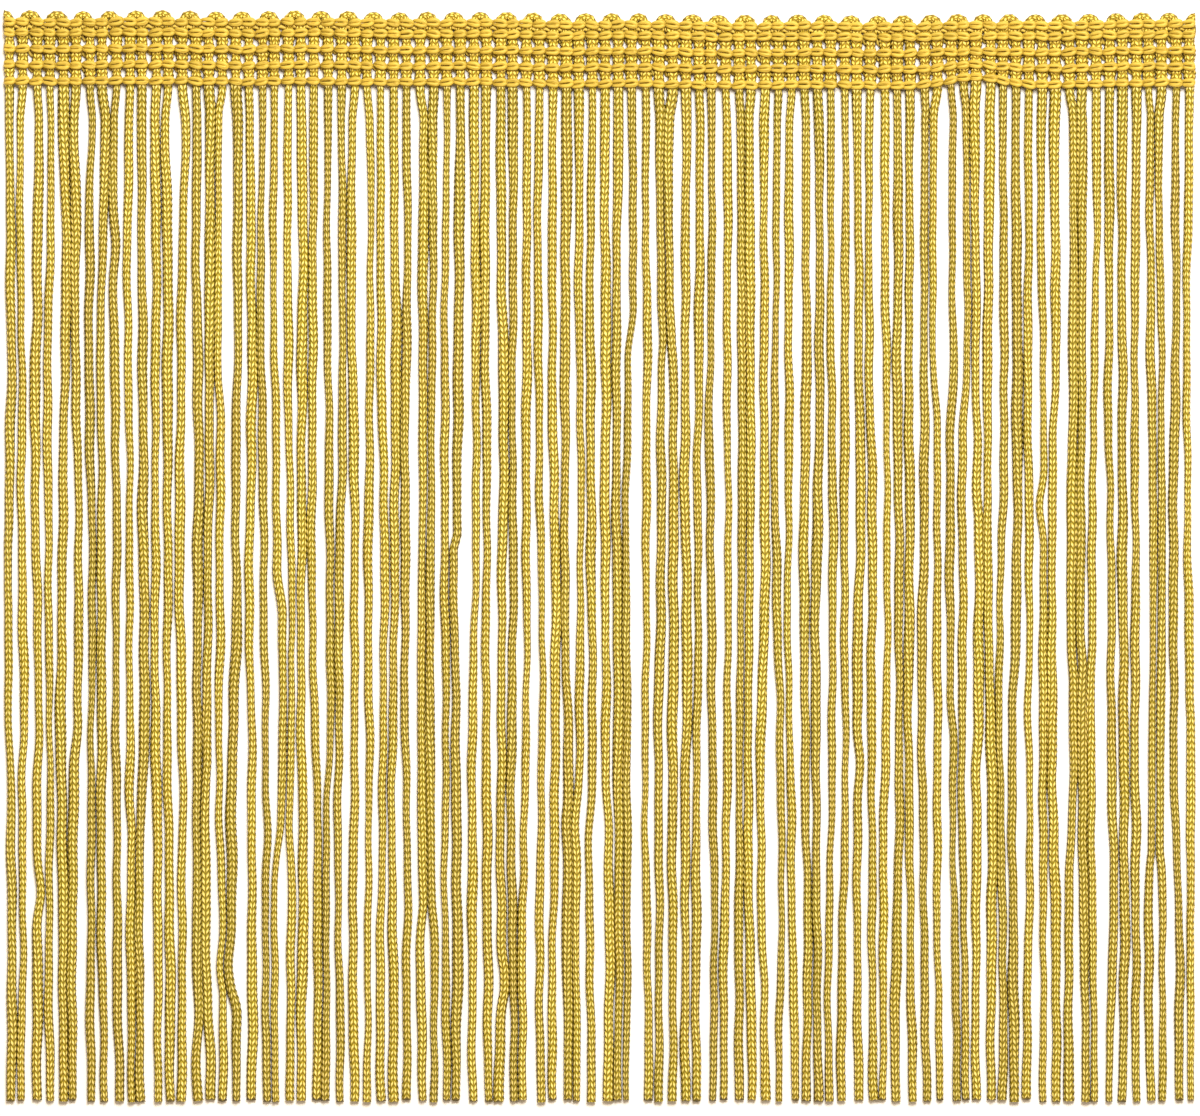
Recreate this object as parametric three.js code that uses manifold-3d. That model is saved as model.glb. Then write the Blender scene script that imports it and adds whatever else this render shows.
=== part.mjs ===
// Chainette fringe trim, lying flat and face up: a heading of chain-stitch rows with a scalloped
// upper edge, and a fringe of cut strands that hangs from the heading's lowest row.
// Millimetres. +X runs along the heading, +Y from the strand ends to the heading, +Z out of the face.
// The trim rests on Z = 0, with the middle of its outline at X = 0, Y = 0.

import * as THREE from "three";
import Module from "manifold-3d";

const wasm = await Module();
wasm.setup();

// Overall sizes
const strandCount = 90;
const strandPitch = 1.847;
const trimWidth = strandCount * strandPitch;
const trimHeight = 152.4;

// Heading: depths are measured down from the line of the scallop tops
const rowDepths = [1.62, 3.12, 5.33, 7.6, 9.85];
const rowHalfHeight = 0.6;
const rowCrestHalf = 0.34;
const rowShoulder = 1.2;
const rowTop = 1.7;
const webTop = 0.45;
const headingStations = 20;
const partingGap = 0.3;
const stripHalfHeight = 0.7;

// Cords that cross the open bands between rows 2 and 5
const bandCord = { lowHalf: 0.58, low: 0.3, topHalf: 0.4, top: 1.2, embed: 0.4 };

// Scallops: each is one cord that turns over the top edge from one strand into the next
const scallop = { centreDepth: 1.33, radius: 0.78, spread: 0.07, segments: 6 };
const scallopSection = { lowHalf: 0.55, low: 0.0, topHalf: 0.4, top: 1.15 };

// Heading's lie: it droops towards the right and is pinched narrower in one place
const droop = { size: 0.62, at: 118, reach: 52 };
const ripple = { size: 0.07, length: 23, from: 3 };
const pinch = { size: 1.0, at: 135.4, reach: 4.6, startsBelow: 5.0 };

// Strands
const strandSection = { lowHalf: 0.56, low: 0.0, topHalf: 0.36, top: 1.08 };
const strandSegments = 10;
const fineLevels = 90;
const leastSpacing = 1.18;
const edgeMargin = 0.62;
const relaxRounds = 80;
const rootJitter = 0.13;
const endJitter = 0.3;
const loosening = 14;
const strandWaves = [
  { size: 0.24, length: 215, seed: 1 },
  { size: 0.16, length: 97, seed: 2 },
  { size: 0.07, length: 43, seed: 3 },
];

// Gaps that stand wider than the rest: place along the heading, depths below it, and full width
const usualGap = 0.64;
const partingReach = 2.3;
const partingFade = 9;
const partings = [
  { at: 3.8, from: 0, to: 40, wide: 1.2 },
  { at: 11.3, from: 0, to: 16, wide: 1.2 },
  { at: 23.9, from: 0, to: 18, wide: 1.3 },
  { at: 28.5, from: 100, to: 150, wide: 1.2 },
  { at: 31.8, from: 0, to: 48, wide: 1.3 },
  { at: 32.6, from: 78, to: 150, wide: 1.3 },
  { at: 38.2, from: 104, to: 150, wide: 1.5 },
  { at: 49.7, from: 0, to: 150, wide: 1.2 },
  { at: 56.6, from: 0, to: 66, wide: 1.1 },
  { at: 69.9, from: 124, to: 150, wide: 1.4 },
  { at: 73.4, from: 128, to: 150, wide: 1.2 },
  { at: 83.0, from: 96, to: 150, wide: 1.2 },
  { at: 88.0, from: 20, to: 150, wide: 1.1 },
  { at: 94.2, from: 0, to: 100, wide: 1.1 },
  { at: 98.4, from: 46, to: 150, wide: 1.1 },
  { at: 107.5, from: 78, to: 126, wide: 1.1 },
  { at: 111.1, from: 0, to: 128, wide: 1.2 },
  { at: 119.0, from: 44, to: 150, wide: 1.2 },
  { at: 131.2, from: 0, to: 46, wide: 1.3 },
  { at: 138.5, from: 40, to: 74, wide: 1.2 },
  { at: 143.7, from: 78, to: 150, wide: 1.2 },
  { at: 147.6, from: 0, to: 104, wide: 1.3 },
  { at: 152.6, from: 48, to: 128, wide: 1.3 },
  { at: 158.3, from: 18, to: 150, wide: 1.2 },
  { at: 161.6, from: 104, to: 150, wide: 1.2 },
];

// Places where two or three strands lie together: place along the heading, and depths from and to
const gatherPull = 0.8;
const gatherReach = 1.6;
const gatherings = [
  { at: 2.7, from: 90, to: 150 },
  { at: 13.9, from: 0, to: 34 },
  { at: 18.9, from: 98, to: 150 },
  { at: 27.1, from: 94, to: 138 },
  { at: 30.0, from: 0, to: 46 },
  { at: 36.2, from: 98, to: 150 },
  { at: 43.5, from: 92, to: 150 },
  { at: 59.8, from: 0, to: 122 },
  { at: 72.2, from: 108, to: 150 },
  { at: 92.9, from: 0, to: 40 },
  { at: 104.2, from: 0, to: 54 },
  { at: 129.9, from: 0, to: 40 },
  { at: 135.3, from: 0, to: 50 },
  { at: 137.2, from: 56, to: 98 },
  { at: 150.3, from: 0, to: 48 },
  { at: 150.8, from: 76, to: 150 },
  { at: 160.5, from: 0, to: 110 },
];

// Short bends in single strands: depth below the heading, sideways shift, and half length
const kinks = [
  { strand: 2, depth: 113, shift: 0.5, half: 3 },
  { strand: 8, depth: 22, shift: 0.45, half: 3.5 },
  { strand: 14, depth: 147, shift: 0.9, half: 6 },
  { strand: 16, depth: 37, shift: -0.45, half: 3 },
  { strand: 17, depth: 123, shift: -0.7, half: 3 },
  { strand: 37, depth: 125, shift: 0.5, half: 3 },
  { strand: 43, depth: 103, shift: -0.5, half: 3 },
  { strand: 64, depth: 94, shift: 0.45, half: 3.5 },
  { strand: 78, depth: 58, shift: -0.5, half: 3 },
];

// Strands that step aside and stay there: depths from and to, and sideways shift
const steps = [
  { strand: 17, from: 125, to: 130, shift: 0.7 },
  { strand: 20, from: 67, to: 74, shift: 0.8 },
  { strand: 34, from: 62, to: 65, shift: -0.7 },
  { strand: 47, from: 30, to: 38, shift: -0.6 },
  { strand: 71, from: 84, to: 91, shift: 0.6 },
  { strand: 5, from: 88, to: 95, shift: -0.6 },
];

const headingDepth = rowDepths[4] + stripHalfHeight;
const strandLength = trimHeight - headingDepth;

// A repeatable number from 0 to 1 for a place in the trim
function chance(place, seed) {
  const mixed = Math.sin(place * 12.9898 + seed * 78.233) * 43758.5453;
  return mixed - Math.floor(mixed);
}

function smoothStep(value, from, to) {
  const share = Math.min(Math.max((value - from) / (to - from), 0), 1);
  return share * share * (3 - 2 * share);
}

// How far a line of the heading lies below its usual depth, at a distance along from the left end
function sag(along, depth) {
  const slow = droop.size * Math.exp(-(((along - droop.at) / droop.reach) ** 2));
  const fine = ripple.size * Math.sin((2 * Math.PI * (along - ripple.from)) / ripple.length);
  const share = smoothStep(depth, pinch.startsBelow, rowDepths[4]);
  const drawn = pinch.size * share * Math.exp(-(((along - pinch.at) / pinch.reach) ** 2));
  return slow + fine + ripple.size - drawn;
}

function headingY(along, depth) {
  return trimHeight / 2 - depth - sag(along, depth);
}

function acrossX(along) {
  return along - trimWidth / 2;
}

function rootAlong(strand) {
  return (strand + 0.5) * strandPitch + rootJitter * (2 * chance(strand, 7) - 1);
}

// How far a strand moves aside where a gap between two strands widens, or closes if widening is below 0
function gapShift(middle, depth, gap, widening, reach) {
  const at = Math.round(gap.at / strandPitch) * strandPitch;
  const away = Math.abs(middle - at) - strandPitch / 2;
  const opens = smoothStep(depth, gap.from, gap.from + (gap.from === 0 ? 5 : partingFade));
  const closes = 1 - smoothStep(depth, gap.to - partingFade, gap.to);
  return Math.sign(middle - at) * 0.5 * widening * Math.exp(-away / reach) * opens * closes;
}

// Where a strand would lie at a depth below the heading if its neighbours were not in the way
function freeAlong(strand, depth) {
  const root = rootAlong(strand);
  const loose = 1 - Math.exp(-depth / loosening);
  let along = root;
  for (const wave of strandWaves) {
    const turn = depth / wave.length + chance(strand, wave.seed);
    along += loose * wave.size * Math.sin(2 * Math.PI * turn);
  }
  const middle = (strand + 0.5) * strandPitch;
  for (const gap of partings) {
    along += gapShift(middle, depth, gap, gap.wide - usualGap, partingReach);
  }
  for (const gap of gatherings) {
    along += gapShift(middle, depth, gap, -gatherPull, gatherReach);
  }
  for (const kink of kinks) {
    if (kink.strand === strand) {
      along += kink.shift * Math.exp(-(((depth - kink.depth) / kink.half) ** 2));
    }
  }
  for (const step of steps) {
    if (step.strand === strand) {
      along += step.shift * smoothStep(depth, step.from, step.to);
    }
  }
  return along;
}

// All strands at one depth, pushed apart until each clears its neighbours and the two ends
function strandsAt(depth) {
  const places = [];
  for (let strand = 0; strand < strandCount; strand += 1) {
    places.push(freeAlong(strand, depth));
  }
  for (let round = 0; round < relaxRounds; round += 1) {
    const moves = places.map(() => 0);
    for (let strand = 1; strand < strandCount; strand += 1) {
      const short = leastSpacing - (places[strand] - places[strand - 1]);
      if (short > 0) {
        moves[strand] += short / 2;
        moves[strand - 1] -= short / 2;
      }
    }
    for (let strand = 0; strand < strandCount; strand += 1) {
      const low = edgeMargin + strand * leastSpacing;
      const high = trimWidth - edgeMargin - (strandCount - 1 - strand) * leastSpacing;
      places[strand] = Math.min(Math.max(places[strand] + 0.8 * moves[strand], low), high);
    }
  }
  return places;
}

// Closed solid through rings of points, all with the same number of points, capped at both ends
function loft(rings, capFaces) {
  const size = rings[0].length;
  const vertices = rings.flat(2);
  const faces = [];
  for (let ring = 0; ring < rings.length - 1; ring += 1) {
    for (let point = 0; point < size; point += 1) {
      const next = (point + 1) % size;
      const a = ring * size + point;
      const b = ring * size + next;
      faces.push(a, b, b + size);
      faces.push(a, b + size, a + size);
    }
  }
  const last = (rings.length - 1) * size;
  for (const [a, b, c] of capFaces) {
    faces.push(c, b, a);
    faces.push(last + a, last + b, last + c);
  }
  const mesh = new wasm.Mesh({
    numProp: 3,
    vertProperties: Float32Array.from(vertices),
    triVerts: Uint32Array.from(faces),
  });
  return new wasm.Manifold(mesh);
}

// Cap of a section that has no hollows: a fan from its first point
function fan(size) {
  return Array.from({ length: size - 2 }, (_, step) => [0, step + 1, step + 2]);
}

// A section narrower at the top, as [across, height] points that run anticlockwise
function taper(section) {
  return [
    [-section.lowHalf, section.low],
    [section.lowHalf, section.low],
    [section.topHalf, section.top],
    [-section.topHalf, section.top],
  ];
}

// One chain row's ridge over the web, from its lower edge to its upper edge
function ridge(depth, half) {
  return [
    [depth + half, webTop],
    [depth + half, rowShoulder],
    [depth + rowCrestHalf, rowTop],
    [depth - rowCrestHalf, rowTop],
    [depth - half, rowShoulder],
    [depth - half, webTop],
  ];
}

// Distances along the heading where its outline is set: even ones, and closer ones at the pinch
function stationsAlong() {
  const even = Array.from({ length: headingStations + 1 }, (_, step) => (trimWidth * step) / headingStations);
  const reach = 1.8 * pinch.reach;
  const close = [-1, -0.45, 0, 0.45, 1].map((share) => pinch.at + share * reach);
  const kept = even.filter((along) => Math.abs(along - pinch.at) > reach + 1);
  return [...kept, ...close].sort((a, b) => a - b);
}

// Carries an outline of [depth, height] points along the heading
function alongHeading(outline) {
  const rings = stationsAlong().map((along) =>
    outline.map(([depth, height]) => [acrossX(along), headingY(along, depth), height]),
  );
  const flat = outline.map(([depth, height]) => new THREE.Vector2(-depth, height));
  return loft(rings, THREE.ShapeUtils.triangulateShape(flat, []));
}

// Joins a list of solids in pairs
function join(solids) {
  let left = solids;
  while (left.length > 1) {
    const joined = [];
    for (let item = 0; item < left.length; item += 2) {
      joined.push(item + 1 < left.length ? left[item].add(left[item + 1]) : left[item]);
    }
    left = joined;
  }
  return left[0];
}

// Rows 1 to 4 on their web, which ends a little above row 5
function makeRows() {
  const webTopEdge = rowDepths[0] - rowHalfHeight;
  const webLowEdge = rowDepths[4] - stripHalfHeight - partingGap;
  const outline = [[webLowEdge, 0], [webLowEdge, webTop]];
  for (const depth of [...rowDepths.slice(0, 4)].reverse()) {
    outline.push(...ridge(depth, rowHalfHeight));
  }
  outline.pop();
  outline.push([webTopEdge, 0]);
  return alongHeading(outline.reverse());
}

// The cords that show between two rows, one for each strand
function makeBandCords(upperRow) {
  const cords = [];
  const lowest = rowDepths[4] - stripHalfHeight - partingGap - 0.06;
  const from = rowDepths[upperRow] + rowHalfHeight - bandCord.embed;
  const to = Math.min(rowDepths[upperRow + 1] - rowHalfHeight + bandCord.embed, lowest);
  for (let strand = 0; strand < strandCount; strand += 1) {
    const along = rootAlong(strand);
    const rings = [from, to].map((depth) =>
      taper(bandCord).map(([across, height]) => [
        acrossX(along + across),
        headingY(along, depth),
        height,
      ]),
    );
    cords.push(loft(rings, fan(4)));
  }
  return cords;
}

// The loops over the top edge, from every second strand into the next. Only half a loop is left at
// each end, where the trim is cut across
function makeScallops() {
  const loops = [];
  const lastLoop = strandCount / 2;
  for (let loop = 0; loop <= lastLoop; loop += 1) {
    let along = (rootAlong(2 * loop - 1) + rootAlong(2 * loop)) / 2;
    let from = scallop.segments;
    let to = 0;
    if (loop === 0) {
      along = 0;
      from = scallop.segments / 2;
    }
    if (loop === lastLoop) {
      along = trimWidth;
      to = scallop.segments / 2;
    }
    const radius = scallop.radius - scallop.spread * chance(loop, 11);
    const rings = [];
    for (let step = from; step >= to; step -= 1) {
      const angle = (Math.PI * step) / scallop.segments;
      rings.push(
        taper(scallopSection).map(([across, height]) => [
          acrossX(along + (radius + across) * Math.cos(angle)),
          headingY(along, scallop.centreDepth) + (radius + across) * Math.sin(angle),
          height,
        ]),
      );
    }
    loops.push(loft(rings, fan(4)));
  }
  return loops;
}

// Row 5, parted from the rest, which the strands are fused into
function makeStrip() {
  return alongHeading([
    [rowDepths[4] - stripHalfHeight, 0],
    [rowDepths[4] - stripHalfHeight, rowShoulder],
    [rowDepths[4] - rowCrestHalf, rowTop],
    [rowDepths[4] + rowCrestHalf, rowTop],
    [rowDepths[4] + stripHalfHeight, rowShoulder],
    [rowDepths[4] + stripHalfHeight, 0],
  ]);
}

// The strands, each from the middle of row 5 to its cut end
function makeStrands() {
  const levels = [];
  for (let level = 0; level <= fineLevels; level += 1) {
    levels.push(strandsAt((strandLength * level) / fineLevels));
  }
  const coarse = fineLevels / strandSegments;
  const strands = [];
  for (let strand = 0; strand < strandCount; strand += 1) {
    const near = (bend) => [bend.strand, bend.strand + Math.sign(bend.shift)].includes(strand);
    const rings = [];
    for (let level = 0; level <= fineLevels; level += 1) {
      const depth = (strandLength * level) / fineLevels;
      const inKink = kinks.some((kink) => near(kink) && Math.abs(depth - kink.depth) < 1.7 * kink.half);
      const inStep = steps.some((step) => near(step) && depth > step.from - 2 && depth < step.to + 2);
      const kept = level % coarse === 0 || ((inKink || inStep) && level % 2 === 0);
      if (kept) {
        const along = levels[level][strand];
        const cut = level === fineLevels ? endJitter * chance(strand, 13) : 0;
        const rise = level === 0 ? stripHalfHeight : 0;
        const y = level === fineLevels
          ? -trimHeight / 2 + cut
          : headingY(along, headingDepth - rise) * (1 - level / fineLevels)
            - (trimHeight / 2) * (level / fineLevels);
        rings.push(taper(strandSection).map(([across, height]) => [acrossX(along + across), y, height]));
      }
    }
    strands.push(loft(rings, fan(4)));
  }
  return strands;
}

// A three.js mesh of one solid, with its own material
function makeMesh(name, solid, colour, roughness) {
  const result = solid.getMesh();
  const geometry = new THREE.BufferGeometry();
  geometry.setAttribute("position", new THREE.BufferAttribute(new Float32Array(result.vertProperties), 3));
  geometry.setIndex(new THREE.BufferAttribute(new Uint32Array(result.triVerts), 1));
  geometry.computeVertexNormals();
  const material = new THREE.MeshStandardMaterial({ color: colour, roughness, metalness: 0 });
  const mesh = new THREE.Mesh(geometry, material);
  mesh.name = name;
  return mesh;
}

const trim = new THREE.Group();
const bands = [1, 2, 3].flatMap((upperRow) => makeBandCords(upperRow));
trim.add(makeMesh("heading", join([makeRows(), ...bands, ...makeScallops()]), 0xe3c356, 0.45));
trim.add(makeMesh("fringe", join([makeStrip(), ...makeStrands()]), 0xc5a94e, 0.55));

export default trim;
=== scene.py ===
import bpy
import numpy as np
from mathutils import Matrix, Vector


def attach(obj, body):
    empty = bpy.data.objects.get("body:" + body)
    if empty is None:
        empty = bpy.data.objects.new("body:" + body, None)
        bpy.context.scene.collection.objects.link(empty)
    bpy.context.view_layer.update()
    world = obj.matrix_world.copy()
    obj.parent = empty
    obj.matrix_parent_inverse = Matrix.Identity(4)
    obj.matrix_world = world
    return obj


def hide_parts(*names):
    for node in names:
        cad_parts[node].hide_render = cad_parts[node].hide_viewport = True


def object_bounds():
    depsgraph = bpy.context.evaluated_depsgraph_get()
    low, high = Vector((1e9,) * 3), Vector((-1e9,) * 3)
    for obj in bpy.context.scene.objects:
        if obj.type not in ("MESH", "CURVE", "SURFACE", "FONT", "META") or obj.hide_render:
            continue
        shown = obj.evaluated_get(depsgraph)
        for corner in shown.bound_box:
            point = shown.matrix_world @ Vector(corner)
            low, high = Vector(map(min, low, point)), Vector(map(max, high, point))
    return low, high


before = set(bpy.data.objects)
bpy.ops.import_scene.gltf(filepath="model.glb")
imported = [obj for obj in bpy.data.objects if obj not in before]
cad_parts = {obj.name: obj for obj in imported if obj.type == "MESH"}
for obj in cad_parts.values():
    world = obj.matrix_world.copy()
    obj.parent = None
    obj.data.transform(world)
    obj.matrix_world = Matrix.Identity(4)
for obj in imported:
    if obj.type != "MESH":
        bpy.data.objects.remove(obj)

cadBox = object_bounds()
mm = 0.001

# Measures of the whole trim; the width is the frame's own
trim = {
    "strands": 90,
    "width": (cadBox[1][0] - cadBox[0][0]) / mm,
    "height": 152.4,
    "rowDepths": (1.62, 3.12, 5.33, 7.6, 9.85),  # chain rows, below the line of the scallop tops
    "stripHalf": 0.7,
    "rootJitter": 0.13,
    "droop": (0.62, 118.0, 52.0),  # size, place along, reach
    "ripple": (0.07, 23.0, 3.0),  # size, length, start
    "pinch": (1.0, 135.4, 4.6, 5.0),  # size, place along, reach, depth where it starts
}
trim["pitch"] = trim["width"] / trim["strands"]
trim["headingDepth"] = trim["rowDepths"][4] + trim["stripHalf"]
trim["strandLength"] = trim["height"] - trim["headingDepth"]

# How the strands lie: the same rows as the solids'
lie = {
    "loosening": 14.0,
    "waves": [  # size, length, seed; the last two are finer than the solids show
        (0.24, 215.0, 1), (0.16, 97.0, 2), (0.07, 43.0, 3), (0.07, 19.0, 4), (0.045, 10.0, 5),
    ],
    "usualGap": 0.64,
    "partingReach": 2.3,
    "partingFade": 9.0,
    "rootOpening": 5.0,  # length over which a gap opens right under the heading
    "leastSpacing": 1.18,
    "edgeMargin": 0.62,
    "relaxRounds": 80,
    "relaxShare": 0.8,
    "partings": [  # place along the heading, depths from and to, width of the gap
        (3.8, 0, 40, 1.2), (11.3, 0, 16, 1.2), (23.9, 0, 18, 1.3), (28.5, 100, 150, 1.2),
        (31.8, 0, 48, 1.3), (32.6, 78, 150, 1.3), (38.2, 104, 150, 1.5), (49.7, 0, 150, 1.2),
        (56.6, 0, 66, 1.1), (69.9, 124, 150, 1.4), (73.4, 128, 150, 1.2), (83.0, 96, 150, 1.2),
        (88.0, 20, 150, 1.1), (94.2, 0, 100, 1.1), (98.4, 46, 150, 1.1), (107.5, 78, 126, 1.1),
        (111.1, 0, 128, 1.2), (119.0, 44, 150, 1.2), (131.2, 0, 46, 1.3), (138.5, 40, 74, 1.2),
        (143.7, 78, 150, 1.2), (147.6, 0, 104, 1.3), (152.6, 48, 128, 1.3), (158.3, 18, 150, 1.2),
        (161.6, 104, 150, 1.2),
    ],
    "gatherPull": 0.8,
    "gatherReach": 1.6,
    "gatherings": [  # strands that lie together: place along the heading, depths from and to
        (2.7, 90, 150), (13.9, 0, 34), (18.9, 98, 150), (27.1, 94, 138), (30.0, 0, 46),
        (36.2, 98, 150), (43.5, 92, 150), (59.8, 0, 122), (72.2, 108, 150), (92.9, 0, 40),
        (104.2, 0, 54), (129.9, 0, 40), (135.3, 0, 50), (137.2, 56, 98), (150.3, 0, 48),
        (150.8, 76, 150), (160.5, 0, 110),
    ],
    "kinks": [  # strand, depth, sideways shift, half length
        (2, 113, 0.5, 3), (8, 22, 0.45, 3.5), (14, 147, 0.9, 6), (16, 37, -0.45, 3),
        (17, 123, -0.7, 3), (37, 125, 0.5, 3), (43, 103, -0.5, 3), (64, 94, 0.45, 3.5),
        (78, 58, -0.5, 3),
    ],
    "steps": [  # strand, depths from and to, lasting sideways shift
        (17, 125, 130, 0.7), (20, 67, 74, 0.8), (34, 62, 65, -0.7), (47, 30, 38, -0.6),
        (71, 84, 91, 0.6), (5, 88, 95, -0.6),
    ],
}


# Helpers of number and shape

def chance(place, seed):
    # a repeatable number from 0 to 1: the fraction of a large sine
    mixed = np.sin(np.asarray(place, float) * 12.9898 + seed * 78.233) * 43758.5453
    return mixed - np.floor(mixed)


def smoothStep(value, start, end):
    # eased step from 0 to 1: 3 s^2 - 2 s^3, where s is the share of the way from start to end
    share = np.clip((np.asarray(value, float) - start) / (end - start), 0.0, 1.0)
    return share * share * (3.0 - 2.0 * share)


def sag(along, depth):
    # how far a line of the heading lies below its usual depth: a long droop, a ripple and one pinch
    droopSize, droopAt, droopReach = trim["droop"]
    rippleSize, rippleLength, rippleStart = trim["ripple"]
    pinchSize, pinchAt, pinchReach, pinchDepth = trim["pinch"]
    slow = droopSize * np.exp(-(((along - droopAt) / droopReach) ** 2))
    fine = rippleSize * (1.0 + np.sin(2 * np.pi * (along - rippleStart) / rippleLength))
    share = smoothStep(depth, pinchDepth, trim["rowDepths"][4])
    return slow + fine - pinchSize * share * np.exp(-(((along - pinchAt) / pinchReach) ** 2))


def headingY(along, depth):
    # up from the outline's middle: half the height, less the depth and the sag
    return trim["height"] / 2 - depth - sag(along, depth)


def rootAlong(strand):
    # even places along the heading, each moved aside by chance
    return (strand + 0.5) * trim["pitch"] + trim["rootJitter"] * (2 * chance(strand, 7) - 1)


def strandPlaces(depths):
    # each strand wanders by a few long sines, gives way at the wide gaps, bends at its kinks,
    # and is then pushed off its neighbours in equal shares until each has its room
    strand = np.arange(trim["strands"])[None, :]
    depth = np.asarray(depths, float)[:, None]
    along = rootAlong(strand) + 0.0 * depth
    for size, length, seed in lie["waves"]:
        loose = 1.0 - np.exp(-depth / lie["loosening"])
        along = along + loose * size * np.sin(2 * np.pi * (depth / length + chance(strand, seed)))
    middle = (strand + 0.5) * trim["pitch"]
    gaps = [(at, start, end, wide - lie["usualGap"], lie["partingReach"])
            for at, start, end, wide in lie["partings"]]
    gaps += [(at, start, end, -lie["gatherPull"], lie["gatherReach"])
             for at, start, end in lie["gatherings"]]
    for at, start, end, widening, reach in gaps:
        at = np.round(at / trim["pitch"]) * trim["pitch"]
        away = np.abs(middle - at) - trim["pitch"] / 2
        opens = smoothStep(depth, start, start + (lie["rootOpening"] if start == 0 else lie["partingFade"]))
        closes = 1.0 - smoothStep(depth, end - lie["partingFade"], end)
        aside = np.sign(middle - at) * 0.5 * widening * np.exp(-away / reach)
        along = along + aside * opens * closes
    for number, at, shift, half in lie["kinks"]:
        along[:, number] += shift * np.exp(-(((depth[:, 0] - at) / half) ** 2))
    for number, start, end, shift in lie["steps"]:
        along[:, number] += shift * smoothStep(depth[:, 0], start, end)
    room = lie["leastSpacing"]
    low = lie["edgeMargin"] + strand * room
    high = trim["width"] - lie["edgeMargin"] - (trim["strands"] - 1 - strand) * room
    for _ in range(lie["relaxRounds"]):
        short = np.maximum(room - np.diff(along, axis=1), 0.0)
        moves = np.zeros_like(along)
        moves[:, 1:] += short / 2
        moves[:, :-1] -= short / 2
        along = np.clip(along + lie["relaxShare"] * moves, low, high)
    return along


def pointsAlong(paths, places):
    # points on many paths, by straight steps between samples; places count in samples
    last = paths.shape[1] - 1
    at = np.clip(places, 0.0, last - 1e-6)
    low = np.floor(at).astype(int)
    share = (at - low)[..., None]
    row = np.arange(len(paths)).reshape((-1,) + (1,) * (places.ndim - 1))
    return paths[row, low] * (1.0 - share) + paths[row, low + 1] * share


def carriedTubes(paths, places, turns, wide, tall):
    # tubes carried along paths: centre + wide * cos(turn) * side + tall * sin(turn) * rise, where
    # side is level and square to the path and rise is square to both
    ahead = np.gradient(paths, axis=1)
    ahead /= np.linalg.norm(ahead, axis=2, keepdims=True)
    side = np.cross(ahead, [0.0, 0.0, 1.0])
    side /= np.linalg.norm(side, axis=2, keepdims=True)
    rise = np.cross(side, ahead)
    across = (wide * np.cos(turns))[..., None] * pointsAlong(side, places)
    upward = (tall * np.sin(turns))[..., None] * pointsAlong(rise, places)
    return pointsAlong(paths, places) + across + upward


def tubeFaces(tubes, rings, columns, joined):
    # four-sided faces of equal tubes, facing out; joined closes each tube on itself lengthways
    steps = rings if joined else rings - 1
    tube, ring, column = np.meshgrid(
        np.arange(tubes), np.arange(steps), np.arange(columns), indexing="ij")

    def corner(r, c):
        return (tube * rings + r % rings) * columns + c % columns

    around = [(ring, column), (ring + 1, column), (ring + 1, column + 1), (ring, column + 1)]
    faces = np.stack([corner(r, c) for r, c in around], axis=-1).reshape(-1, 4)
    marks = np.stack([np.stack([c, r], axis=-1) for r, c in around], axis=-2).reshape(-1, 4, 2)
    return faces, marks.astype(float)


def capFaces(tubes, rings, columns):
    # fans that close both ends of each tube on a point of its own, added after the rings' points
    tube, column = np.meshgrid(np.arange(tubes), np.arange(columns), indexing="ij")
    tips = tubes * rings * columns + 2 * tube
    first = tube * rings * columns
    last = first + (rings - 1) * columns
    after = (column + 1) % columns
    start = np.stack([tips, first + column, first + after], axis=-1).reshape(-1, 3)
    end = np.stack([tips + 1, last + after, last + column], axis=-1).reshape(-1, 3)
    return np.concatenate([start, end])


def makePiece(pieceName, points, faces, marks, tones, rises, material):
    # one mesh from whole arrays, smooth, with its stitch map and, for each point, a tone and its rise
    # round the yarn: 0 underneath, 0.5 at the sides, 1 on top; the rise sets the painted shade on the
    # flanks
    corners = np.concatenate([group.ravel() for group in faces])
    sizes = np.concatenate([np.full(len(group), group.shape[1]) for group in faces])
    mesh = bpy.data.meshes.new(pieceName)
    mesh.vertices.add(len(points))
    mesh.vertices.foreach_set("co", (points * mm).astype(np.float32).ravel())
    mesh.loops.add(len(corners))
    mesh.loops.foreach_set("vertex_index", corners.astype(np.int32))
    mesh.polygons.add(len(sizes))
    mesh.polygons.foreach_set("loop_start", (np.cumsum(sizes) - sizes).astype(np.int32))
    mesh.polygons.foreach_set("use_smooth", np.ones(len(sizes), bool))
    layer = mesh.uv_layers.new(name="stitchMap")
    cornerMarks = np.concatenate([group.reshape(-1, 2) for group in marks])
    layer.uv.foreach_set("vector", cornerMarks.astype(np.float32).ravel())
    for name, values in (("yarnTone", tones), ("yarnRise", rises)):
        attribute = mesh.attributes.new(name, "FLOAT", "POINT")
        attribute.data.foreach_set("value", values.astype(np.float32))
    mesh.update(calc_edges=True)
    mesh.validate()
    mesh.materials.append(material)
    piece = bpy.data.objects.new(pieceName, mesh)
    bpy.context.scene.collection.objects.link(piece)
    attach(piece, "root")
    print("made", pieceName, "triangles", int((sizes - 2).sum()))
    return piece


# Camera straight above, framed as the photograph, which is 1200 pixels wide
view = {
    "pixelsAcross": 1200,
    "pixelsPerMm": 7.165,
    "distance": 1.3,  # in metres
    "shiftMm": (0.07, -0.28),
    "sensorMm": 36.0,
}
shownWidth = view["pixelsAcross"] / view["pixelsPerMm"] * mm
cameraData = bpy.data.cameras.new("camera")
cameraData.sensor_width = view["sensorMm"]
cameraData.lens = view["sensorMm"] * view["distance"] / shownWidth
camera = bpy.data.objects.new("camera", cameraData)
camera.location = (view["shiftMm"][0] * mm, view["shiftMm"][1] * mm, view["distance"])
bpy.context.scene.collection.objects.link(camera)
bpy.context.scene.camera = camera


# Materials

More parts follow.
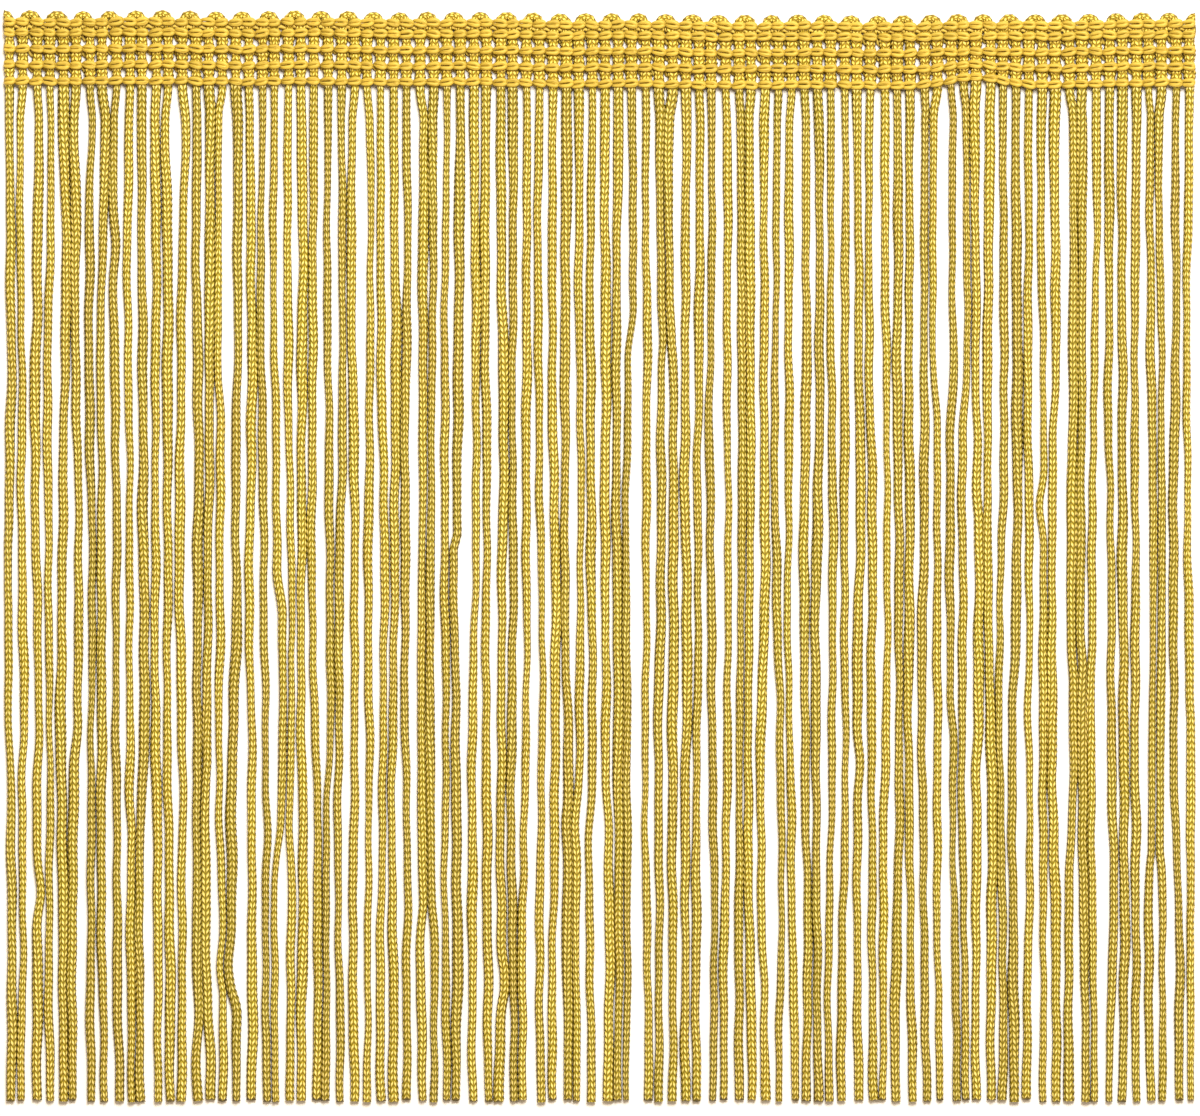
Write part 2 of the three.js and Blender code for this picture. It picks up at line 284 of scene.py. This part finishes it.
def hexColour(value):
    # sRGB hex to linear
    parts = np.array([int(value[i:i + 2], 16) for i in (1, 3, 5)]) / 255.0
    linear = np.where(parts <= 0.04045, parts / 12.92, ((parts + 0.055) / 1.055) ** 2.4)
    return (*linear.tolist(), 1.0)


def addNode(tree, kind, settings=None, links=None):
    # one node with its properties or input values, and links given as {input: (node, output)}
    node = tree.nodes.new(kind)
    for key, value in (settings or {}).items():
        if isinstance(key, str) and hasattr(node, key):
            setattr(node, key, value)
        else:
            node.inputs[key].default_value = value
    for key, (source, output) in (links or {}).items():
        tree.links.new(source.outputs[output], node.inputs[key])
    return node


def newMaterial(name):
    material = bpy.data.materials.new(name)
    material.use_nodes = True
    material.node_tree.nodes.clear()
    return material, material.node_tree


def colourRamp(tree, stops, source, output):
    # colours at places from 0 to 1, blended evenly between them
    ramp = addNode(tree, "ShaderNodeValToRGB", {}, {"Fac": (source, output)})
    points = ramp.color_ramp.elements
    while len(points) < len(stops):
        points.new(0.5)
    for point, (place, colour) in zip(points, stops):
        point.position = place
        point.color = hexColour(colour)
    return ramp


def yarnShade(tree, tone, toneShare, flankShade):
    # brightness of a yarn: its own tone, times a painted shade that darkens its flanks
    rise = addNode(tree, "ShaderNodeAttribute", {"attribute_name": "yarnRise"})
    side = addNode(
        tree, "ShaderNodeMapRange",
        {"interpolation_type": "SMOOTHSTEP", "From Min": 0.5, "From Max": 0.88, "To Min": flankShade},
        {"Value": (rise, "Fac")})
    own = addNode(
        tree, "ShaderNodeMath", {"operation": "MULTIPLY_ADD", 1: toneShare, 2: 1.0}, {0: tone})
    return addNode(tree, "ShaderNodeMath", {"operation": "MULTIPLY"}, {0: (side, 0), 1: (own, 0)})


silkSheen = {"IOR": 1.53, "Specular Tint": hexColour("#FFF0C4")}  # viscose, tinted by its dye

cordFinish = {
    # painted shade in the grooves, a painted highlight on the crests
    "grooveShade": "#73600D",
    "shade": "#B8A022",
    "body": "#E2C546",
    "crest": "#F7DF84",
    "flankShade": 0.46,  # painted shade: brightness low on the sides
    "roughness": 0.42,
    "fibreLift": 0.25,
    "toneShare": 0.14,
}


def knittedCordMaterial(name, finish):
    # viscose cord knitted on a ring of needles: silky V stitches, with a painted highlight on their crests
    # and painted olive-brown shade in the creases between them
    material, tree = newMaterial(name)
    stitchMap = addNode(tree, "ShaderNodeUVMap", {"uv_map": "stitchMap"})
    place = addNode(tree, "ShaderNodeSeparateXYZ", {}, {0: (stitchMap, "UV")})
    # distance from the crease across the cord (0 to 0.5), and from the crease along it
    fromSide = addNode(
        tree, "ShaderNodeMath", {"operation": "PINGPONG", 1: 0.5}, {0: (place, "X")})
    shifted = addNode(tree, "ShaderNodeMath", {"operation": "ADD", 1: 0.5}, {0: (place, "Y")})
    fromCrease = addNode(
        tree, "ShaderNodeMath", {"operation": "PINGPONG", 1: 0.5}, {0: (shifted, 0)})
    side = addNode(
        tree, "ShaderNodeMapRange",
        {"interpolation_type": "SMOOTHSTEP", "From Min": 0.0, "From Max": 0.3},
        {"Value": (fromSide, 0)})
    crease = addNode(
        tree, "ShaderNodeMapRange",
        {"interpolation_type": "SMOOTHSTEP", "From Min": 0.0, "From Max": 0.4},
        {"Value": (fromCrease, 0)})
    creaseShadeAndRelief = addNode(
        tree, "ShaderNodeMath", {"operation": "MULTIPLY"}, {0: (side, 0), 1: (crease, 0)})
    # fibres of a stitch, about 0.08 mm apart and so drawn coarser than real ones
    stretch = addNode(
        tree, "ShaderNodeMapping", {"Scale": (7.0, 1.2, 1.0)}, {"Vector": (stitchMap, "UV")})
    fibres = addNode(
        tree, "ShaderNodeTexNoise", {"Scale": 1.0, "Detail": 3.0, "Roughness": 0.6},
        {"Vector": (stretch, 0)})
    spread = addNode(tree, "ShaderNodeMath", {"operation": "SUBTRACT", 1: 0.5}, {0: (fibres, 0)})
    lifted = addNode(
        tree, "ShaderNodeMath", {"operation": "MULTIPLY_ADD", 1: finish["fibreLift"]},
        {0: (spread, 0), 2: (creaseShadeAndRelief, 0)})
    # colour by the stitch relief: painted shade in the grooves and creases, the yarn's own colour in the
    # body, a painted highlight on the crests
    stops = [
        (0.0, finish["grooveShade"]), (0.3, finish["shade"]), (0.66, finish["body"]), (1.0, finish["crest"])]
    colour = colourRamp(tree, stops, lifted, 0)
    # the cord is a little brighter or darker every 6 mm or so, as well as from strand to strand
    tone = addNode(tree, "ShaderNodeAttribute", {"attribute_name": "yarnTone"})
    where = addNode(tree, "ShaderNodeTexCoord")
    slub = addNode(
        tree, "ShaderNodeTexNoise", {"Scale": 160.0, "Detail": 2.0}, {"Vector": (where, "Object")})
    slubTone = addNode(
        tree, "ShaderNodeMath", {"operation": "MULTIPLY_ADD", 1: 0.5, 2: -0.25}, {0: (slub, 0)})
    shade = addNode(
        tree, "ShaderNodeMath", {"operation": "ADD"}, {0: (tone, "Fac"), 1: (slubTone, 0)})
    value = yarnShade(tree, (shade, 0), finish["toneShare"], finish["flankShade"])
    # lengths of cord some 20 mm long lean a little to orange or to olive
    dye = addNode(
        tree, "ShaderNodeTexNoise", {"Scale": 50.0, "Detail": 1.0}, {"Vector": (where, "Object")})
    hue = addNode(
        tree, "ShaderNodeMath", {"operation": "MULTIPLY_ADD", 1: 0.016, 2: 0.492}, {0: (dye, 0)})
    toned = addNode(
        tree, "ShaderNodeHueSaturation", {},
        {"Color": (colour, "Color"), "Value": (value, 0), "Hue": (hue, 0)})
    bump = addNode(
        tree, "ShaderNodeBump", {"Strength": 0.9, "Distance": 0.00018}, {"Height": (lifted, 0)})
    shader = addNode(
        tree, "ShaderNodeBsdfPrincipled", {"Roughness": finish["roughness"], **silkSheen},
        {"Base Color": (toned, "Color"), "Normal": (bump, "Normal")})
    addNode(tree, "ShaderNodeOutputMaterial", {}, {"Surface": (shader, "BSDF")})
    return material


# inside the heading the cords are pressed flat and get less painted shade on their sides
pressedCordFinish = {
    **cordFinish,
    # painted shade in the grooves, a painted highlight on the crests
    "grooveShade": "#80690F",
    "shade": "#B6951F",
    "body": "#E0BE42",
    "crest": "#FCDE6C",
    # painted shade on the sides, lighter than on the strands
    "flankShade": 0.62,
}

chainFinish = {
    "crease": "#9C781A",
    "body": "#D2B141",
    "crest": "#DCC055",
    # painted shade on the sides, faint
    "flankShade": 0.86,
    "roughness": 0.5,
    "toneShare": 0.07,
}


def filamentYarnMaterial(name, finish):
    # bright viscose filament yarn, barely twisted: smooth and silky, with fine streaks of light
    material, tree = newMaterial(name)
    stitchMap = addNode(tree, "ShaderNodeUVMap", {"uv_map": "stitchMap"})
    # filament bundles lie 0.2 mm apart, show for about 1.5 mm and turn slowly round the yarn
    slow = addNode(
        tree, "ShaderNodeMapping", {"Scale": (1.0, 0.5, 1.0), "Rotation": (0.0, 0.0, 0.12)},
        {"Vector": (stitchMap, "UV")})
    bundles = addNode(
        tree, "ShaderNodeTexNoise", {"Scale": 1.2, "Detail": 3.0, "Roughness": 0.6},
        {"Vector": (slow, 0)})
    stops = [(0.3, finish["crease"]), (0.46, finish["body"]), (0.72, finish["crest"])]
    colour = colourRamp(tree, stops, bundles, 0)
    tone = addNode(tree, "ShaderNodeAttribute", {"attribute_name": "yarnTone"})
    value = yarnShade(tree, (tone, "Fac"), finish["toneShare"], finish["flankShade"])
    toned = addNode(
        tree, "ShaderNodeHueSaturation", {}, {"Color": (colour, "Color"), "Value": (value, 0)})
    bump = addNode(
        tree, "ShaderNodeBump", {"Strength": 0.5, "Distance": 0.00006}, {"Height": (bundles, 0)})
    shader = addNode(
        tree, "ShaderNodeBsdfPrincipled", {"Roughness": finish["roughness"], **silkSheen},
        {"Base Color": (toned, "Color"), "Normal": (bump, "Normal")})
    addNode(tree, "ShaderNodeOutputMaterial", {}, {"Surface": (shader, "BSDF")})
    return material


cordMaterial = knittedCordMaterial("knittedViscoseCord", cordFinish)
pressedCordMaterial = knittedCordMaterial("knittedViscoseCordPressed", pressedCordFinish)
chainMaterial = filamentYarnMaterial("viscoseFilamentYarn", chainFinish)
print("materials made")


# Knitted cords: four wales of V stitches round the tube, so eight legs, each one column wide

knit = {
    "stitch": 0.87,  # length of a stitch in the strands
    "pressedStitch": 0.62,  # and in the heading, where the rows crowd them
    "wales": 4,
    "slant": 0.62,  # how far a leg climbs across its own width, in stitches
    "crease": 0.15,  # share of the radius lost between stitches
    "valley": 0.08,  # and between wales
    "sway": 0.5,  # how far the wales turn to and fro, in radians, on top of the cord's own twist
    "swayLength": 11.0,
}


def knittedTubes(paths, length, stitch, wide, tall, firstTurn, turnRate, upward):
    # ring j lies half a stitch above ring j - 1 and zigzags with the legs: its place along the cord
    # is j / 2 + slant * (zig - 1 / 2), and its radius drops on every second ring and between legs
    count = len(paths)
    columns = 2 * knit["wales"]
    stitches = int(round(length / stitch))
    rings = 2 * stitches + 1
    zig = np.tile([0.0, 1.0], knit["wales"])
    ring = np.arange(rings)[None, :, None]
    lean = knit["slant"] * (zig - 0.5)[None, None, :] * upward[:, None, None]
    begin = chance(np.arange(count) + 100 * upward.sum(), 59)[:, None, None] - 0.5
    place = np.clip(ring / 2 + lean + begin, 0.0, stitches)
    turns = 2 * np.pi * np.arange(columns)[None, None, :] / columns + firstTurn[:, None, None]
    turns = turns + turnRate[:, None, None] * place * stitch
    swayPhase = place * stitch / knit["swayLength"] + 7.0 * firstTurn[:, None, None]
    turns = turns + knit["sway"] * np.sin(swayPhase)
    lost = knit["crease"] * (ring % 2) + knit["valley"] * zig[None, None, :]
    share = 1.0 - lost + 0.0 * place
    samples = place / stitches * (paths.shape[1] - 1)
    wideHere = pointsAlong(wide[..., None], samples)[..., 0]
    tallHere = pointsAlong(tall[..., None], samples)[..., 0]
    points = carriedTubes(paths, samples, turns, wideHere * share, tallHere * share)
    tips = paths[:, [0, -1]]
    faces, marks = tubeFaces(count, rings, columns, False)
    marks = marks * [1.0, 0.5]  # two rings to a stitch
    caps = capFaces(count, rings, columns)
    allPoints = np.concatenate([points.reshape(-1, 3), tips.reshape(-1, 3)])
    capMarks = np.tile([0.5, 0.5], (len(caps), 3, 1))
    rises = np.concatenate([(0.5 + 0.5 * np.sin(turns)).ravel(), np.full(2 * count, 0.5)])
    return allPoints, [faces, caps], [marks, capMarks], rises, rings * columns


# Strands

strands = {
    "wide": 0.672,
    "tall": 0.57,
    "rootSwell": 0.05,
    "rootSwellReach": 8.0,
    "widthSpread": 0.12,
    "widthWaves": (15.0, 4.3),
    "twist": 0.05,  # most that the wales turn, in radians for each millimetre
    "samples": 330,
    "rowHeight": 0.86,  # height of a cord's middle inside the heading
    "drop": 4.0,  # length over which it comes down to the table
    "clearance": 0.01,
    "lift": 0.10,  # slack that a strand may stand off the table
    "liftWave": 13.0,
    "liftGrows": (6.0, 40.0),  # depths between which the slack grows to its full size
    "endJitter": 0.3,
    "pieces": 5,
}


def strandPaths():
    # one path for each strand, from the middle of row 5 to its cut end: down the trim at an even
    # rate, and along its height drop * exp(-(depth / reach)^2) plus a slack wave above the table
    start = -trim["stripHalf"]
    depth = np.linspace(start, trim["strandLength"], strands["samples"])
    along = strandPlaces(np.maximum(depth, 0.0)).T
    number = np.arange(trim["strands"])[:, None]
    share = np.clip(depth / trim["strandLength"], 0.0, 1.0)[None, :]
    end = -trim["height"] / 2 + strands["endJitter"] * chance(number, 13)
    top = headingY(along, trim["headingDepth"] + np.minimum(depth, 0.0)[None, :])
    y = top * (1 - share) + end * share
    rest = strands["tall"] + strands["clearance"]
    drop = (strands["rowHeight"] - rest) * np.exp(-((np.maximum(depth, 0.0) / strands["drop"]) ** 2))
    loose = smoothStep(depth, *strands["liftGrows"])[None, :]
    wave = np.sin(depth[None, :] / strands["liftWave"] + 6.3 * chance(number, 17))
    slack = strands["lift"] * loose * (0.5 + 0.5 * wave)
    z = rest + drop[None, :] + slack
    return np.stack([along - trim["width"] / 2, y, z], axis=-1)


def makeStrands():
    paths = strandPaths()
    number = np.arange(trim["strands"])
    depth = np.linspace(0.0, trim["strandLength"], strands["samples"])[None, :]
    # a soft cord is nowhere quite as wide: each has its own width, and two waves run along it
    first, second, own = (6.3 * chance(number, seed)[:, None] for seed in (19, 61, 67))
    longWave, shortWave = strands["widthWaves"]
    swell = strands["widthSpread"] * (
        0.6 * np.sin(depth / longWave + first) + 0.4 * np.sin(depth / shortWave + second)
        + 0.6 * np.sin(own))
    wide = strands["wide"] + swell + strands["rootSwell"] * np.exp(-depth / strands["rootSwellReach"])
    tall = strands["tall"] + 0.0 * swell
    firstTurn = 2 * np.pi * chance(number, 23)
    turnRate = strands["twist"] * (2 * chance(number, 29) - 1)
    upward = np.where(number % 2 == 0, -1.0, 1.0)
    length = trim["strandLength"] + trim["stripHalf"]
    made = []
    for part, chosen in enumerate(np.array_split(number, strands["pieces"])):
        points, faces, marks, rises, each = knittedTubes(
            paths[chosen], length, knit["stitch"], wide[chosen], tall[chosen],
            firstTurn[chosen], turnRate[chosen], upward[chosen])
        tone = 2 * chance(chosen, 31) - 1
        tones = np.concatenate([np.repeat(tone, each), np.repeat(tone, 2)])
        made.append(makePiece(
            f"strands{part + 1}", points, faces, marks, tones, rises, cordMaterial))
    return made


strandPieces = makeStrands()


# Heading cords: up from one strand through the rows, over the edge as a scallop, and down again
# into the next strand

headingCord = {
    "low": 10.25,  # depth where the cord meets its strand, under row 5
    "arcDepth": 1.32,
    "radius": 0.78,
    "radiusSpread": 0.07,
    "leanDepth": 4.0,  # below this a cord stands straight over its strand
    "wide": 0.78,
    "wideGain": 0.08,  # cords lie flatter and wider towards the right
    "gainAlong": (30.0, 110.0),
    "bulge": 0.12,  # uneven width between the rows
    "bulgeRate": 2.1,
    "tall": 0.42,
    "round": 0.62,
    "height": 0.88,
    "squeeze": 0.2,  # how far a chain row presses the cord down
    "squeezeReach": 0.5,
    "arcHeight": 0.68,
    "twist": 0.1,
    "tone": 0.9,  # painted light: brighter, to lift the cords out of the rows' shade
    "toneSpread": 0.5,
    "samples": 240,
}


def makeHeadingCords(name, loops, first, last):
    # cords of the given loops, from share first to share last of their way: a straight leg, then
    # middle - radius * cos(angle) along and radius * sin(angle) up, then a straight leg again
    loop = np.array(loops)[:, None]
    left, right = rootAlong(2 * loop - 1), rootAlong(2 * loop)
    middle = (left + right) / 2
    middle = np.where(loop == 0, 0.0, middle)
    middle = np.where(loop == trim["strands"] // 2, trim["width"], middle)
    radius = headingCord["radius"] - headingCord["radiusSpread"] * chance(loop, 11)
    leg = headingCord["low"] - headingCord["arcDepth"]
    length = 2 * leg + np.pi * headingCord["radius"]
    place = np.linspace(first, last, headingCord["samples"])[None, :] * length
    rising = np.clip(place / leg, 0.0, 1.0)
    falling = np.clip((place - leg - np.pi * headingCord["radius"]) / leg, 0.0, 1.0)
    angle = np.pi * np.clip((place - leg) / (np.pi * headingCord["radius"]), 0.0, 1.0)
    climbs = angle < np.pi / 2
    depth = np.where(
        climbs, headingCord["low"] - leg * rising, headingCord["arcDepth"] + leg * falling)
    root = np.where(climbs, left, right)
    lean = 1.0 - smoothStep(depth, headingCord["arcDepth"], headingCord["leanDepth"])
    along = root + (middle - radius * np.cos(angle) - root) * lean
    y = headingY(middle, depth) + radius * np.sin(angle)
    over = np.sin(angle)
    z = headingCord["height"] + (headingCord["arcHeight"] - headingCord["height"]) * over
    z = z + 0.0 * along
    for rowDepth in trim["rowDepths"]:
        pressed = np.exp(-(((depth - rowDepth) / headingCord["squeezeReach"]) ** 2))
        z = z - headingCord["squeeze"] * (1.0 - over) * pressed
    paths = np.stack([along - trim["width"] / 2, y, z], axis=-1)
    flat = headingCord["wide"] + headingCord["wideGain"] * smoothStep(middle, *headingCord["gainAlong"])
    bulgeWave = np.sin(depth * headingCord["bulgeRate"] + 6.3 * chance(root, 71))
    uneven = headingCord["bulge"] * bulgeWave * (1.0 - over)
    wide = flat + (headingCord["round"] - flat) * over + uneven
    tall = headingCord["tall"] + (headingCord["round"] - headingCord["tall"]) * over + 0.0 * along
    number = loop[:, 0]
    firstTurn = 2 * np.pi * chance(number, 37)
    turnRate = headingCord["twist"] * (2 * chance(number, 41) - 1)
    points, faces, marks, rises, each = knittedTubes(
        paths, float(length * (last - first)), knit["pressedStitch"], wide, tall,
        firstTurn, turnRate, np.ones(len(number)))
    # painted light: the heading cords are made brighter than the strands
    tone = headingCord["tone"] + headingCord["toneSpread"] * (2 * chance(number, 43) - 1)
    tones = np.concatenate([np.repeat(tone, each), np.repeat(tone, 2)])
    return makePiece(name, points, faces, marks, tones, rises, pressedCordMaterial)


# whole loops join every second strand to the next; the trim's two ends are cut through a loop's top
headingCords = makeHeadingCords("headingCords", range(1, trim["strands"] // 2), 0.0, 1.0)
leftEndCord = makeHeadingCords("leftEndCord", [0], 0.5, 1.0)
rightEndCord = makeHeadingCords("rightEndCord", [trim["strands"] // 2], 0.0, 0.5)


# Chain rows: each stitch is a loop of yarn over one cord; its narrow end comes up from under the
# stitch before, and its round end swells and closes

chain = {
    "route": [  # upper half of a stitch: along the row, across it, height, half width of the yarn
        (-1.12, 0.00, 0.60, 0.20), (-1.00, 0.13, 0.76, 0.21), (-0.80, 0.24, 1.02, 0.24),
        (-0.50, 0.29, 1.27, 0.28), (-0.15, 0.32, 1.40, 0.30), (0.20, 0.33, 1.44, 0.32),
        (0.47, 0.26, 1.44, 0.33), (0.61, 0.12, 1.41, 0.33), (0.64, 0.00, 1.37, 0.32),
    ],
    "flatness": 0.8,
    "rings": 22,
    "finePerRing": 8,
    "sides": 7,
    "jitter": 0.12,  # of a stitch's size, as a share
    "alongJitter": 0.08,
    "acrossJitter": 0.06,
    "heightJitter": 0.04,
    "tilt": 0.19,
    "streaks": 8.0,  # filament bundles round the yarn
    "streakStep": 0.25,
}


def closedRoute(points, count):
    # smooth closed line through points: cubic pieces whose slope at a point is half the step
    # between its neighbours
    points = np.asarray(points, float)
    at = np.arange(count) * len(points) / count
    low = np.floor(at).astype(int)
    t = (at - low)[:, None]
    before, here, after, beyond = (points[(low + shift) % len(points)] for shift in (-1, 0, 1, 2))
    return 0.5 * (
        2 * here + (after - before) * t
        + (2 * before - 5 * here + 4 * after - beyond) * t ** 2
        + (3 * here - before - 3 * after + beyond) * t ** 3)


def makeChain(name, rows):
    # one closed loop of yarn for each strand and row: the route and its mirror image, with a size,
    # tilt and place of its own
    upper = np.array(chain["route"])
    lower = upper[-2:0:-1] * [1.0, -1.0, 1.0, 1.0]
    step = chain["finePerRing"]
    loop = closedRoute(np.concatenate([upper, lower]), step * chain["rings"])
    stitch = np.arange(trim["strands"])
    paths = []
    for row in rows:
        seed = 50 + 10 * row
        size = 1.0 + chain["jitter"] * (2 * chance(stitch, seed) - 1)[:, None]
        centre = rootAlong(stitch) + chain["alongJitter"] * (2 * chance(stitch, seed + 1) - 1)
        along = centre[:, None] + loop[:, 0] * size
        along = np.clip(along, loop[:, 3], trim["width"] - loop[:, 3])
        tilt = chain["tilt"] * (2 * chance(stitch, seed + 4) - 1)[:, None]
        aside = chain["acrossJitter"] * (2 * chance(stitch, seed + 2) - 1)[:, None]
        across = loop[:, 1] * size + tilt * loop[:, 0] + aside
        y = headingY(along, trim["rowDepths"][row]) + across
        z = loop[:, 2] + chain["heightJitter"] * (2 * chance(stitch, seed + 3) - 1)[:, None]
        paths.append(np.stack([along - trim["width"] / 2, y, z], axis=-1))
    paths = np.concatenate(paths)
    # wrapped ends keep the slope right where the loop closes
    wrapped = np.concatenate([paths[:, -step:], paths, paths[:, :step + 1]], axis=1)
    rings, sides = chain["rings"], chain["sides"]
    places = step * (1.0 + np.arange(rings))[None, :, None] + np.zeros((len(paths), 1, sides))
    turns = 2 * np.pi * np.arange(sides)[None, None, :] / sides + 0.0 * places
    wide = loop[::step, 3][None, :, None] + 0.0 * places
    points = carriedTubes(wrapped, places, turns, wide, chain["flatness"] * wide)
    faces, marks = tubeFaces(len(paths), rings, sides, True)
    number = np.arange(len(paths))
    streakStart = np.repeat(8 * chance(number, 47), rings * sides)[:, None, None]
    marks = marks * [chain["streaks"] / sides, chain["streakStep"]] + streakStart
    tones = np.repeat(2 * chance(number, 53) - 1, rings * sides)
    rises = (0.5 + 0.5 * np.sin(turns)).ravel()
    return makePiece(
        name, points.reshape(-1, 3), [faces], [marks], tones, rises, chainMaterial)


chainRows = makeChain("chainRows", [0, 1, 2, 3])
footRow = makeChain("footRow", [4])


# Back yarns: one waves along each row behind the cords and dips across the upper right corner of
# each hole, and one fills the seam of rows 1 and 2

backYarn = {"wave": 0.1, "dip": 0.85, "height": 0.3, "wide": 0.25, "tall": 0.2, "rings": 10}
footYarn = {"wave": 0.2, "dip": 0.0, "height": 0.2, "wide": 0.25, "tall": 0.17, "rings": 6}
seamYarn = {"wave": 0.14, "dip": 0.0, "height": 0.75, "wide": 0.27, "tall": 0.22, "rings": 6}
wavedYarn = {
    "sides": 6,
    "samplesPerStrand": 12,
    "leastDip": 0.4,  # shares of a yarn's dip: the least, what chance adds, and the right end's more
    "ownDip": 0.8,
    "rightDip": 0.3,
    "dipPhase": 1.0,
    "heightWave": 0.02,
}


def makeWavedYarns(name, yarn, depths):
    # depth + wave * sin(phase), less a dip that is the fourth power of a cosine over each strand
    samples = trim["strands"] * wavedYarn["samplesPerStrand"] + 1
    along = np.linspace(yarn["wide"], trim["width"] - yarn["wide"], samples)
    phase = 2 * np.pi * along / trim["pitch"]
    # the dips are uneven, and deeper where the cords lie wider
    own = wavedYarn["leastDip"] + wavedYarn["ownDip"] * chance(np.round(along / trim["pitch"]), 73)
    own = own + wavedYarn["rightDip"] * smoothStep(along, *headingCord["gainAlong"])
    dip = yarn["dip"] * own * (0.5 + 0.5 * np.cos(phase - wavedYarn["dipPhase"])) ** 2
    z = yarn["height"] + wavedYarn["heightWave"] * np.cos(2 * phase)
    paths = []
    for depth in depths:
        y = headingY(along, depth) + yarn["wave"] * np.sin(phase + depth) - dip
        paths.append(np.stack([along - trim["width"] / 2, y, z], axis=-1))
    paths = np.stack(paths)
    rings = trim["strands"] * yarn["rings"] + 1
    sides = wavedYarn["sides"]
    places = np.linspace(0, samples - 1, rings)[None, :, None] + np.zeros((len(depths), 1, sides))
    turns = 2 * np.pi * np.arange(sides)[None, None, :] / sides + 0.0 * places
    wide = yarn["wide"] + 0.0 * places
    tall = yarn["tall"] + 0.0 * places
    points = carriedTubes(paths, places, turns, wide, tall)
    faces, marks = tubeFaces(len(depths), rings, sides, False)
    caps = capFaces(len(depths), rings, sides)
    allPoints = np.concatenate([points.reshape(-1, 3), paths[:, [0, -1]].reshape(-1, 3)])
    tones = np.zeros(len(allPoints))
    rises = np.concatenate([(0.5 + 0.5 * np.sin(turns)).ravel(), np.full(2 * len(depths), 0.5)])
    marks = marks * [chain["streaks"] / sides, chain["streakStep"]]
    capMarks = np.tile([0.5, 0.5], (len(caps), 3, 1))
    return makePiece(
        name, allPoints, [faces, caps], [marks, capMarks], tones, rises, chainMaterial)


backYarns = makeWavedYarns("backYarns", backYarn, trim["rowDepths"][:4])
footBackYarn = makeWavedYarns("footBackYarn", footYarn, trim["rowDepths"][4:])
seam = makeWavedYarns("seamYarn", seamYarn, [sum(trim["rowDepths"][:2]) / 2])

for piece in [*strandPieces, footRow, footBackYarn]:
    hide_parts("fringe")
for piece in [headingCords, leftEndCord, rightEndCord, chainRows, backYarns, seam]:
    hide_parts("heading")
# the heading is cut 10.55 mm wide, and rows 1 to 4 take up the upper 8.85 mm of it
print("heading made")


# Table, light and air

def makeTable():
    material, tree = newMaterial("matteWhitePaper")
    # smooth matte paper: an even white with the faintest mottle
    where = addNode(tree, "ShaderNodeTexCoord")
    mottle = addNode(
        tree, "ShaderNodeTexNoise", {"Scale": 30.0, "Detail": 2.0}, {"Vector": (where, "Object")})
    colour = colourRamp(tree, [(0.0, "#F8F1E6"), (1.0, "#FCF7EF")], mottle, 0)
    shader = addNode(
        tree, "ShaderNodeBsdfPrincipled", {"Roughness": 0.9}, {"Base Color": (colour, "Color")})
    addNode(tree, "ShaderNodeOutputMaterial", {}, {"Surface": (shader, "BSDF")})
    half = 1.5  # metres from the middle to an edge
    corners = [(-half, -half, 0), (half, -half, 0), (half, half, 0), (-half, half, 0)]
    mesh = bpy.data.meshes.new("table")
    mesh.from_pydata(corners, [], [(0, 1, 2, 3)])
    mesh.materials.append(material)
    table = bpy.data.objects.new("table", mesh)
    bpy.context.scene.collection.objects.link(table)


def addLight(name, place, size, power, colour):
    # round panel that faces the trim's middle, with its place and size in metres
    data = bpy.data.lights.new(name, "AREA")
    data.shape = "DISK"
    data.size = size
    data.energy = power
    data.color = hexColour(colour)[:3]
    lamp = bpy.data.objects.new(name, data)
    lamp.location = place
    outward = np.array(place) / np.linalg.norm(place)
    bearing = np.arctan2(outward[1], outward[0]) + np.pi / 2
    lamp.rotation_euler = (np.arccos(outward[2]), 0.0, bearing)
    bpy.context.scene.collection.objects.link(lamp)


makeTable()
addLight("overheadPanel", (0.10, 0.42, 0.85), 0.40, 11.6, "#FFFFFF")
addLight("sidePanel", (0.9, -0.5, 1.0), 0.8, 1.5, "#FFEFE8")
world = bpy.data.worlds.new("studioAir")
world.use_nodes = True
air = world.node_tree.nodes["Background"]
air.inputs["Color"].default_value = hexColour("#FFEACB")
air.inputs["Strength"].default_value = 0.5
bpy.context.scene.world = world
bpy.context.scene.view_settings.view_transform = "Standard"
bpy.context.scene.view_settings.look = "None"
